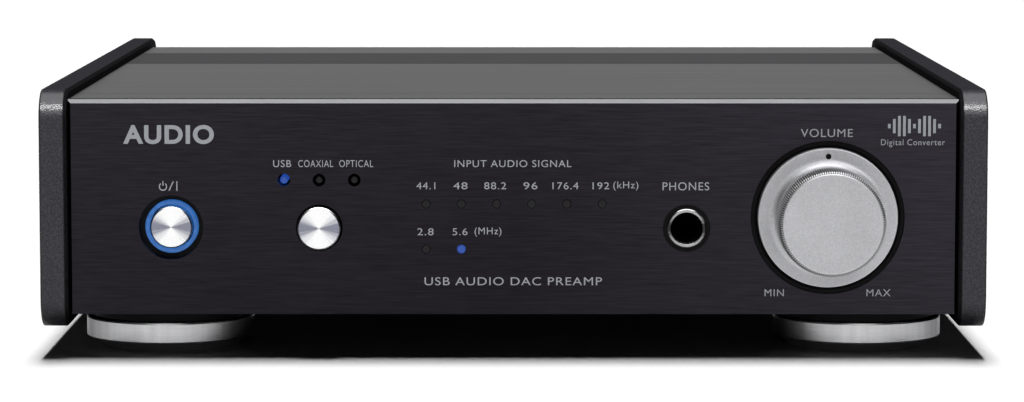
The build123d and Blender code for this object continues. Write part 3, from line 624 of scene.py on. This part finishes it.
def lathe(name, outline, centres, axis="Y", steps=192, bite=None):
    """Turns closed outlines of (radius, place along the axis), in mm, about an axis through each centre.
    bite(turn, radius) gives how far a point is cut inwards."""
    outline = held(outline)
    mesh = bpy.data.meshes.new(name)
    build = bmesh.new()
    turning = build.loops.layers.uv.new("turning")
    lengths = [0.0]
    for first, second in zip(outline, outline[1:] + outline[:1]):
        lengths.append(lengths[-1] + math.dist(first, second))
    for centre in centres:
        rows = []
        for step in range(steps):
            turn = step / steps
            angle = 2 * math.pi * turn
            row = []
            for radius, along in outline:
                cut = bite(turn, radius) if bite else 0.0
                reach = max(radius - cut, 0.0005)
                across, up = reach * math.cos(angle), reach * math.sin(angle)
                if axis == "Y":
                    place = (centre[0] + across, along, centre[1] + up)
                else:
                    place = (centre[0] + up, centre[1] + across, along)
                row.append(build.verts.new(Vector(place) * MM))
            rows.append(row)
        for step in range(steps):
            here, there = rows[step], rows[(step + 1) % steps]
            for index in range(len(outline)):
                other = (index + 1) % len(outline)
                corners = (here[index], there[index], there[other], here[other])
                face = build.faces.new(corners)
                turns = (step, step + 1, step + 1, step)
                ends = (lengths[index], lengths[index], lengths[index + 1], lengths[index + 1])
                for loop, turned_by, length in zip(face.loops, turns, ends):
                    loop[turning].uv = (turned_by / steps, length / 10)
    return finished(build, mesh)


def slab_sections(thickness, edge, bevel):
    """(depth, inset) from a slab's outer face to its inner one: a rounded edge first and a bevel last."""
    quarter = [math.pi / 2 * k / 6 for k in range(7)]
    sections = [(edge * (1 - math.cos(a)), edge * (1 - math.sin(a))) for a in quarter]
    sections.append((edge + 0.05, 0.0))
    soft = 0.12
    turn = thickness - bevel
    sections += [(turn - 2 * soft, 0.0), (turn - soft, 0.0), (turn + 0.6 * soft, 0.7 * soft),
                 (turn + 2 * soft, 2 * soft)]
    sections += [(thickness - 2 * soft, bevel - 2 * soft), (thickness - soft, bevel - soft),
                 (thickness, bevel + 0.5 * soft), (thickness, bevel + 2 * soft)]
    return sections


def rounded_rectangle(low, high, corner, inset, steps=18, hold=0.08):
    """A closed outline of (y, z). A point is held just outside each end of a corner's arc."""
    middles = ((high[0] - corner, high[1] - corner), (low[0] + corner, high[1] - corner),
               (low[0] + corner, low[1] + corner), (high[0] - corner, low[1] + corner))
    radius = corner - inset
    points = []
    for turn, (y, z) in enumerate(middles):
        for step in range(-1, steps + 2):
            angle = math.pi / 2 * (turn + min(max(step, 0), steps) / steps)
            slide = hold * (max(step - steps, 0) + min(step, 0))
            points.append((y + radius * math.cos(angle) - slide * math.sin(angle),
                           z + radius * math.sin(angle) + slide * math.cos(angle)))
    return points


def rounded_slab(name, outer_x, inner_x, low, high, corner, edge, bevel):
    """A slab thin along X with rounded corners. In mm."""
    mesh = bpy.data.meshes.new(name)
    build = bmesh.new()
    inward = 1 if inner_x > outer_x else -1
    rings = []
    for depth, inset in slab_sections(abs(inner_x - outer_x), edge, bevel):
        x = outer_x + inward * depth
        outline = rounded_rectangle(low, high, corner, inset)
        rings.append([build.verts.new(Vector((x, y, z)) * MM) for y, z in outline])
    for first, second in zip(rings, rings[1:]):
        for index in range(len(first)):
            other = (index + 1) % len(first)
            build.faces.new((first[index], first[other], second[other], second[index]))
    build.faces.new(rings[0])
    build.faces.new(list(reversed(rings[-1])))
    return finished(build, mesh)


# ---------------------------------------------------------------- volume knob
KNOB_FLANGE_DEPTH = 14.4    # from the knob's face back to its flange
KNOB_GRIP_DEPTH = 9.6       # from the knob's face back to the end of the knurl
KNOB_NECK_R = 11.6
KNOB_COVE_R = 1.9
KNOB_GRIP_R = 12.15
KNURL_ROOT_R = 11.62


def knurl(turn, radius):
    """How deep the straight knurl cuts at one place."""
    if radius <= KNURL_ROOT_R:
        return 0.0
    phase = (turn * KNURL_TEETH) % 1.0
    return (radius - KNURL_ROOT_R) * abs(phase - 0.5) * 2


def add_knob_body():
    low, high = node_box("volume_knob")
    front, back = low[1], high[1]
    flange_r = (high[0] - low[0]) / 2
    flange_y = front + KNOB_FLANGE_DEPTH
    knurl_end = front + KNOB_GRIP_DEPTH
    quarter = [math.pi / 2 * k / 10 for k in range(11)]
    cove = [(KNOB_NECK_R + KNOB_COVE_R * (1 - math.cos(a)), flange_y - KNOB_COVE_R * (1 - math.sin(a)))
            for a in quarter]
    outline = [(0.0, front), (10.9, front), (11.08, front + 0.02), (11.22, front + 0.1), (11.3, front + 0.22),
               (11.32, front + 0.5), (11.32, knurl_end - 0.1), (KNOB_NECK_R, knurl_end)]
    outline += cove
    outline += [(flange_r - 0.35, flange_y), (flange_r - 0.1, flange_y + 0.08), (flange_r, flange_y + 0.3),
                (flange_r, back), (10.8, back), (10.8, front + 8.0), (5.5, front + 8.0), (5.5, back - 2.4),
                (3.03, back - 2.4), (3.03, front + 4.5), (0.0, front + 4.5)]
    mesh = lathe("knob_body", outline, [VOLUME], steps=240)
    add_piece("knob_body", mesh, FINISHES["knob_silver"], "volume_control", ("volume_knob",),
              sharp=30)


def add_knob_grip():
    front = node_box("volume_knob")[0][1]
    knurl_end = front + KNOB_GRIP_DEPTH
    outline = [(11.0, front + 0.6), (11.4, front + 0.6), (11.65, front + 0.8), (12.0, front + 1.15),
               (12.12, front + 1.3), (KNOB_GRIP_R, front + 1.5), (KNOB_GRIP_R, knurl_end - 0.5),
               (12.0, knurl_end - 0.2), (KNOB_NECK_R + 0.03, knurl_end - 0.02), (11.0, knurl_end - 0.02)]
    mesh = lathe("knob_grip", outline, [VOLUME], steps=KNURL_TEETH * 6, bite=knurl)
    add_piece("knob_grip", mesh, KNURLED, "volume_control", ("volume_knob",), sharp=30)


def add_pointer_dot():
    flange_y = node_box("volume_knob")[0][1] + KNOB_FLANGE_DEPTH
    low, high = node_box("knob_pointer")
    radius = (high[0] - low[0]) / 2
    outline = [(0.0, flange_y - 0.03), (radius - 0.05, flange_y - 0.03), (radius, flange_y - 0.01),
               (radius, flange_y), (0.0, flange_y)]
    mesh = lathe("pointer_dot", outline, [node_centre("knob_pointer")], steps=64)
    add_piece("pointer_dot", mesh, FINISHES["black_plastic"], "volume_control", ("knob_pointer",))


# ---------------------------------------------------------------- buttons and their light
def add_button(name, node, body, centre):
    low, high = node_box(node)
    front, back = low[1], high[1]
    radius = (high[0] - low[0]) / 2
    bore_r = 2.1
    bore_end = back - 1.6
    outline = [(0.0, front + 0.02), (radius - 0.55, front + 0.02), (radius - 0.42, front),
               (radius - 0.32, front + 0.03), (radius - 0.06, front + 0.3), (radius, front + 0.5),
               (radius, back), (bore_r, back), (bore_r, bore_end), (0.0, bore_end)]
    mesh = lathe(name, outline, [centre], steps=160)
    add_piece(name, mesh, FINISHES["button_silver"], body, (node,), sharp=40)


def add_light_ring():
    low, high = node_box("power_light_ring")
    front, back = low[1], high[1]
    outer = (high[0] - low[0]) / 2
    inner = outer - 0.95
    outline = [(inner, front + 0.12), (inner + 0.12, front), (outer - 0.2, front),
               (outer - 0.05, front + 0.08), (outer, front + 0.25), (outer, back), (inner, back)]
    mesh = lathe("lit_ring", outline, [POWER], steps=160)
    add_piece("lit_ring", mesh, FINISHES["light_blue"], "case", ("power_light_ring",))


# ---------------------------------------------------------------- headphone socket ring
def add_jack_ring():
    low, high = node_box("phones_jack_ring")
    front, back = low[1], high[1]
    outer = (high[0] - low[0]) / 2
    bore = 3.2
    outline = rounded([(bore, back), (bore, front + 0.75), (bore + 0.5, front), (outer - 0.3, front),
                       (outer, front + 0.3), (outer, back)], 0.12, 4)
    mesh = lathe("socket_ring", outline, [PHONES], steps=160)
    add_piece("socket_ring", mesh, FINISHES["socket_chrome"], "case", ("phones_jack_ring",))


# ---------------------------------------------------------------- feet
FOOT_R = 19.6
FOOT_INNER_R = 17.3
FOOT_CORE_R = 18.4
FOOT_BORE_R = 6.5
FOOT_SCREW_R = 2.1


def foot_centres():
    low, high = node_box("foot_rings")
    return [(x, y) for x in (low[0] + FOOT_R, high[0] - FOOT_R) for y in (low[1] + FOOT_R, high[1] - FOOT_R)]


def add_feet():
    centres = foot_centres()
    low, high = node_box("foot_rings")
    bottom, top = low[2], high[2]
    outer = FOOT_R - 0.02
    inner = FOOT_INNER_R
    outline = [(inner, bottom), (outer - 0.5, bottom), (outer - 0.12, bottom + 0.12), (outer, bottom + 0.45),
               (outer, top - 0.5), (outer - 0.12, top - 0.12), (outer - 0.5, top), (inner, top)]
    mesh = lathe("foot_sleeves", outline, centres, "Z", 192)
    add_piece("foot_sleeves", mesh, FINISHES["foot_silver"], "case", ("foot_rings",))
    outline = [(FOOT_BORE_R, 0.0), (15.3, 0.0), (15.65, 0.08), (15.85, 0.3), (17.0, bottom - 0.1),
               (17.05, bottom), (FOOT_BORE_R, bottom)]
    mesh = lathe("foot_cushions", outline, centres, "Z", 128)
    add_piece("foot_cushions", mesh, FINISHES["rubber_black"], "case", ("foot_pads",))
    core_top = node_box("foot_bodies")[1][2]
    outline = [(FOOT_SCREW_R, 5.0), (5.5, 5.0), (5.5, bottom), (inner, bottom), (inner, top),
               (FOOT_CORE_R, top), (FOOT_CORE_R, core_top), (FOOT_SCREW_R, core_top)]
    mesh = lathe("foot_cores", outline, centres, "Z", 128)
    add_piece("foot_cores", mesh, FINISHES["black_plastic"], "case", ("foot_bodies",))


# ---------------------------------------------------------------- side panels
SIDE_CORNER_R = 6.8
SIDE_EDGE_R = 0.5
SIDE_BEVEL = 0.7


def add_sides():
    """Two slabs, whose faces towards each other have a duller coat with its colour darkened as painted shade.
    """
    for side, inward in (("left", 1), ("right", -1)):
        node = "side_panel_" + side
        low, high = node_box(node)
        outer_x, inner_x = (low[0], high[0])[::inward]
        mesh = rounded_slab("cheek_" + side, outer_x, inner_x, low[1:], high[1:],
                            SIDE_CORNER_R, SIDE_EDGE_R, SIDE_BEVEL)
        cheek = add_piece("cheek_" + side, mesh, FINISHES["side_black"], "case", (node,))
        cheek.data.materials.append(FINISHES["side_inner"])
        for face in cheek.data.polygons:
            if face.normal.x * inward > 0.5:
                face.material_index = 1


# ---------------------------------------------------------------- rear washers
WASHERS = (("washer_right", (-80.0, 24.0), RED_PLASTIC),
           ("washer_left", (-80.0, 44.0), FINISHES["white_plastic"]),
           ("washer_digital", (12.0, 27.0), ORANGE_PLASTIC))


def add_washers():
    """One coloured washer around each phono socket."""
    back = node_box("rca_washers")[1][1]
    inner, outer = 4.45, 6.6
    for name, centre, material in WASHERS:
        outline = rounded([(inner, REAR_Y), (outer, REAR_Y), (outer, back - 0.4), (outer - 0.4, back),
                           (inner, back)], 0.15, 3)
        mesh = lathe(name, outline, [centre], steps=96)
        add_piece(name, mesh, material, "case", ("rca_washers",))


# ---------------------------------------------------------------- lettering
PRINT = 0.02            # thickness of the ink, in mm


def letter_mesh(name, text, weight):
    """Flat letters in the built-in font. weight widens their strokes."""
    curve = bpy.data.curves.new(name, "FONT")
    curve.body = text
    curve.size = 10.0
    curve.offset = weight
    curve.space_character = 1.12
    curve.space_word = 0.9
    curve.extrude = 0.0
    curve.resolution_u = 8
    carrier = bpy.data.objects.new(name, curve)
    put(carrier)
    graph = bpy.context.evaluated_depsgraph_get()
    mesh = bpy.data.meshes.new_from_object(carrier.evaluated_get(graph))
    bpy.data.objects.remove(carrier)
    return mesh


def thicken(mesh, depth):
    """Turns a flat drawing into a thin solid."""
    build = bmesh.new()
    build.from_mesh(mesh)
    faces = build.faces[:]
    result = bmesh.ops.extrude_face_region(build, geom=faces)
    moved = [v for v in result["geom"] if isinstance(v, bmesh.types.BMVert)]
    bmesh.ops.translate(build, verts=moved, vec=(0, 0, depth))
    finished(build, mesh)


def spread(mesh, x0, x1, z0, z1, y, rear=False):
    """Fits a flat drawing into a box on the front or the rear panel, in mm."""
    xs = [v.co.x for v in mesh.vertices]
    ys = [v.co.y for v in mesh.vertices]
    left, right, low, high = min(xs), max(xs), min(ys), max(ys)
    for v in mesh.vertices:
        across = (v.co.x - left) / (right - left)
        up = (v.co.y - low) / (high - low)
        x = x1 - across * (x1 - x0) if rear else x0 + across * (x1 - x0)
        z = z0 + up * (z1 - z0)
        depth = v.co.z * (1 if rear else -1)
        v.co = Vector((x, y + depth, z)) * MM


def label(text, x0, x1, z0, z1, weight=0.0, material=None, rear=False):
    """Printed text that fills a box of x and z, in mm."""
    name = "label_" + "".join(c for c in text.lower() if c.isalnum())
    mesh = letter_mesh(name, text, weight)
    thicken(mesh, PRINT)
    spread(mesh, x0, x1, z0, z1, REAR_Y if rear else FACE_Y, rear)
    add_piece(name, mesh, material or (REAR_INK if rear else FRONT_INK), "case")


def ribbon(points, width):
    """A flat line of even width through points, as vertices and faces."""
    verts = []
    for index, point in enumerate(points):
        ahead = points[min(index + 1, len(points) - 1)]
        behind = points[max(index - 1, 0)]
        along = (Vector(ahead) - Vector(behind)).normalized()
        side = Vector((-along.y, along.x)) * width / 2
        verts += [Vector(point) + side, Vector(point) - side]
    faces = [(2 * k, 2 * k + 2, 2 * k + 3, 2 * k + 1) for k in range(len(points) - 1)]
    return verts, faces


def drawing(name, lines, width, material):
    """Printed lines of even width on the front panel, each a list of (x, z) in mm."""
    verts, faces = [], []
    for points in lines:
        more_verts, more_faces = ribbon(points, width)
        faces += [tuple(i + len(verts) for i in face) for face in more_faces]
        verts += more_verts
    mesh = bpy.data.meshes.new(name)
    mesh.from_pydata([(v.x, v.y, 0) for v in verts], [], faces)
    thicken(mesh, PRINT)
    for v in mesh.vertices:
        v.co = Vector((v.co.x, FACE_Y - v.co.z, v.co.y)) * MM
    add_piece(name, mesh, material, "case")


def arc(x, z, radius, start, end, steps=32):
    angles = [math.radians(start + (end - start) * k / steps) for k in range(steps + 1)]
    return [(x + radius * math.cos(a), z + radius * math.sin(a)) for a in angles]


def add_front_labels():
    small = (43.65, 45.25)
    label("USB", -54.5, -50.4, *small)
    label("COAXIAL", -48.8, -40.9, *small)
    label("OPTICAL", -39.5, -31.8, *small)
    label("INPUT AUDIO SIGNAL", -13.4, 13.2, *small)
    rates = (38.6, 40.2)
    for text, x0, x1 in (("44.1", -22.0, -17.7), ("48", -13.6, -10.4), ("88.2", -6.6, -1.6), ("96", 2.3, 5.5),
                         ("176.4", 8.9, 14.8), ("192", 18.0, 21.8)):
        label(text, x0, x1, *rates)
    label("(kHz)", 22.7, 28.4, 38.3, 40.4)
    fast_rates = (28.1, 29.7)
    label("2.8", -21.8, -18.1, *fast_rates)
    label("5.6", -13.8, -10.4, *fast_rates)
    label("(MHz)", -8.8, -2.7, 27.8, 29.9)
    label("USB AUDIO DAC PREAMP", -20.2, 20.2, 16.65, 18.5)
    label("PHONES", 33.9, 44.5, 38.35, 40.2)
    label("VOLUME", 65.2, 77.0, 50.5, 52.35)
    limits = (14.15, 15.75)
    label("MIN", 57.2, 61.6, *limits)
    label("MAX", 80.4, 85.9, *limits)
    label("AUDIO", -88.5, -67.9, 48.9, 53.25, weight=0.35, material=MARK_INK)


def add_power_symbol():
    """The standby sign, a slash and the on sign."""
    x, z = -79.55, 39.2
    low, high = z - 0.95, z + 1.2
    lines = [arc(x, z, 0.82, 125, 415), [(x, z + 0.2), (x, z + 1.25)],
             [(x + 1.35, low), (x + 2.35, high)], [(x + 3.15, low), (x + 3.15, high)]]
    drawing("power_symbol", lines, 0.24, FRONT_INK)


def add_emblem():
    """A sampled sine wave drawn as level bars, over two words."""
    x0, x1, middle = 85.25, 96.65, 53.0
    bars = 11
    lines = []
    for k in range(bars):
        share = k / (bars - 1)
        x = x0 + (x1 - x0) * share
        half = 0.5 + 1.9 * abs(math.sin(2 * math.pi * share))
        lines.append([(x, middle - half), (x, middle + half)])
    drawing("wave_emblem", lines, 0.62, MARK_INK)
    label("Digital Converter", 83.4, 97.9, 48.2, 50.0, material=MARK_INK)


REAR_LABELS = (
    ("AC IN", 74.0, 85.0, 49.0, 51.0),
    ("BALANCED OUT", -50.0, -24.0, 52.6, 54.4),
    ("L", -53.0, -51.6, 12.6, 14.4),
    ("R", -23.0, -21.4, 12.6, 14.4),
    ("LINE OUT", -86.5, -73.5, 52.6, 54.4),
    ("COAXIAL IN", 5.0, 19.0, 34.6, 36.2),
    ("USB IN", 27.0, 35.0, 31.0, 32.6),
    ("OPTICAL IN", 43.8, 56.2, 32.6, 34.2),
    ("OUTPUT FIX - VARI", 2.5, 21.5, 51.0, 52.6),
    ("FILTER OFF - ON", 31.5, 48.5, 51.0, 52.6),
)


def add_rear_labels():
    for text, x0, x1, z0, z1 in REAR_LABELS:
        label(text, x0, x1, z0, z1, rear=True)


# ---------------------------------------------------------------- stage
FLOOR_SIZE = 12.0
FLOOR_KEY = 3.95
FLOOR_KEY_SPREAD = 9
FLOOR_KEY_TILTS = (-15, -12, -9, -6, -3, 0)
OBJECT_KEY = 3.2
OBJECT_KEY_SPREAD = 60
FRONT_SKY = 0.002
BACK_SKY = 0.012
FRONT_BOX = 3.0
LOW_BOX = 0.9
KNOB_BOX = 6.6
CHEEK_BOX = 58.0
REAR_BOX = 0.46
LOW_LIT = ("power_cap", "selector_cap", "socket_ring", "foot_cushions")


def gathered(name, pieces):
    """A collection for light linking."""
    group = bpy.data.collections.new(name)
    for piece in pieces:
        group.objects.link(piece)
    return group


def add_key(name, strength, spread, tilt, receivers, blockers=None):
    """Overhead light that falls on the pieces of one collection and is shaded by those of another."""
    data = bpy.data.lights.new(name, "SUN")
    data.energy = strength
    data.angle = math.radians(spread)
    light = bpy.data.objects.new(name, data)
    light.rotation_euler = (math.radians(tilt), 0, 0)
    light.light_linking.receiver_collection = receivers
    if blockers:
        light.light_linking.blocker_collection = blockers
    put(light)


def add_sky():
    """A dim room around the object. Seen directly it is as white as the floor."""
    world = bpy.data.worlds.new("studio")
    bpy.context.scene.world = world
    world.use_nodes = True
    tree = world.node_tree
    coords = tree.nodes.new("ShaderNodeTexCoord")
    parts = tree.nodes.new("ShaderNodeSeparateXYZ")
    rise = tree.nodes.new("ShaderNodeMapRange")
    rise.interpolation_type = "SMOOTHSTEP"
    rise.inputs["From Min"].default_value = -0.1
    rise.inputs["From Max"].default_value = 0.8
    rise.inputs["To Min"].default_value = FRONT_SKY
    rise.inputs["To Max"].default_value = BACK_SKY
    path = tree.nodes.new("ShaderNodeLightPath")
    seen = tree.nodes.new("ShaderNodeMath")
    seen.operation = "MAXIMUM"
    tree.links.new(coords.outputs["Generated"], parts.inputs[0])
    tree.links.new(parts.outputs["Y"], rise.inputs["Value"])
    tree.links.new(rise.outputs["Result"], seen.inputs[0])
    tree.links.new(path.outputs["Is Camera Ray"], seen.inputs[1])
    tree.links.new(seen.outputs[0], tree.nodes["Background"].inputs["Strength"])
    tree.nodes["Background"].inputs["Color"].default_value = (1, 1, 1, 1)


def add_softbox(name, place, size, radiance, receivers, target=(0, 0, 0.03)):
    """A soft light that falls on the pieces of one collection."""
    data = bpy.data.lights.new(name, "AREA")
    data.shape = "RECTANGLE"
    data.size, data.size_y = size
    data.energy = radiance * math.pi * size[0] * size[1]
    light = bpy.data.objects.new(name, data)
    light.location = place
    light.rotation_euler = (Vector(target) - Vector(place)).to_track_quat("-Z", "Y").to_euler()
    light.visible_camera = False
    light.light_linking.receiver_collection = receivers
    put(light)


def add_floor():
    corners = ((-1, -1), (1, -1), (1, 1), (-1, 1))
    mesh = bpy.data.meshes.new("floor")
    mesh.from_pydata([(x * FLOOR_SIZE, y * FLOOR_SIZE, FLOOR_Z) for x, y in corners], [], [(0, 1, 2, 3)])
    floor = bpy.data.objects.new("floor", mesh)
    put(floor)
    shader = Shader("pale_floor")
    shader.set(color=(0.86, 0.86, 0.86, 1), roughness=0.9, specular=0.1)
    mesh.materials.append(shader.material)
    return floor


def named(pieces, *names):
    return [p for p in pieces if p.name in names]


def add_stage():
    bpy.context.scene.view_settings.view_transform = "Standard"
    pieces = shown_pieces()
    everything = gathered("lit_pieces", pieces)
    low_lit = gathered("lit_low", named(pieces, *LOW_LIT))
    cheeks = gathered("lit_cheeks", named(pieces, "cheek_left", "cheek_right"))
    knob = gathered("lit_knob", named(pieces, "knob_body", "knob_grip"))
    cover = gathered("lit_cover", named(pieces, "top_cover"))
    housing = gathered("shading", [p for p in pieces if "volume_control" not in body_of(p)])
    floor = gathered("lit_floor", [add_floor()])
    for tilt in FLOOR_KEY_TILTS:
        add_key("floor_key", FLOOR_KEY / len(FLOOR_KEY_TILTS), FLOOR_KEY_SPREAD, tilt, floor, housing)
    add_key("object_key", OBJECT_KEY, OBJECT_KEY_SPREAD, 0, everything)
    add_sky()
    add_softbox("front_softbox", (0, -1.4, 0.75), (1.8, 0.22), FRONT_BOX, everything)
    add_softbox("cheek_softbox", (0, -1.25, 1.4), (2.2, 0.3), CHEEK_BOX, cheeks)
    add_softbox("low_softbox", (0, -2.2, 0.25), (3.2, 0.5), LOW_BOX, low_lit)
    add_softbox("knob_softbox", (0.55, -1.3, 0.95), (0.6, 0.5), KNOB_BOX, knob)
    add_softbox("rear_softbox", (0, 1.5, 0.45), (2.6, 0.7), REAR_BOX, cover)


add_camera()
finish_cad_nodes()
add_knob_body()
add_knob_grip()
add_pointer_dot()
add_button("power_cap", "power_button_cap", "power_button", POWER)
add_button("selector_cap", "selector_button_cap", "selector_button", SELECTOR)
add_light_ring()
add_jack_ring()
add_feet()
add_sides()
add_washers()
add_front_labels()
add_power_symbol()
add_emblem()
add_rear_labels()
add_stage()
